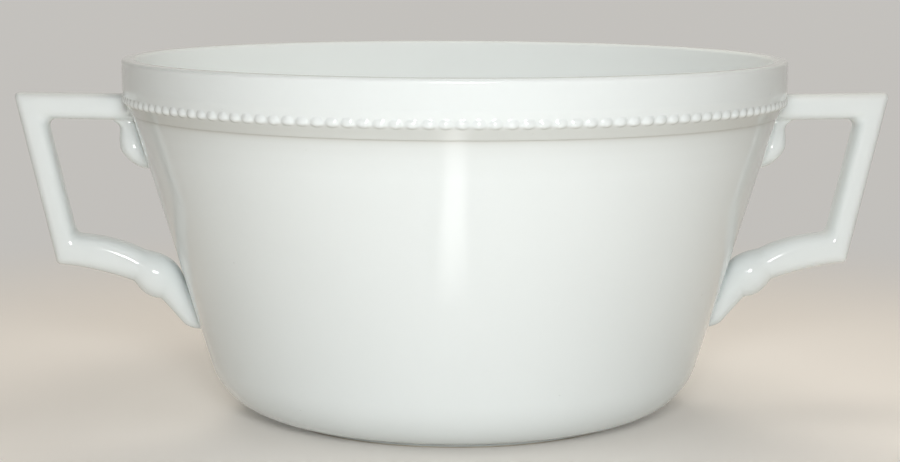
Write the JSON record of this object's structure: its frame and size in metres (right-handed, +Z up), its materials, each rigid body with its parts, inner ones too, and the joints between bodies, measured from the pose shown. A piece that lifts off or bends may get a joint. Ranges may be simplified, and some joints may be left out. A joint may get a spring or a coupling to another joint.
{
  "type": "cream soup bowl",
  "caption": "White glazed porcelain soup bowl with a tapered wall, a beaded collar below the rim, a low foot ring and an angular loop handle on each side.",
  "frame": {"origin": "centre of the foot ring, on the table", "axes": "+Z up along the bowl's axis, X through both handles, Y across the bowl from front to back"},
  "size_m": [0.1486, 0.112, 0.0607],
  "materials": {
    "glazed_porcelain": "gloss",
    "fired_slip": "gloss"
  },
  "bodies": {
    "root": {"bowl_body": "glazed_porcelain", "handle_right": "glazed_porcelain", "handle_left": "glazed_porcelain", "right_root_slip": "fired_slip", "right_leaf_slip": "fired_slip", "right_tail_slip": "fired_slip", "left_root_slip": "fired_slip", "left_leaf_slip": "fired_slip", "left_tail_slip": "fired_slip"}
  },
  "joints": []
}
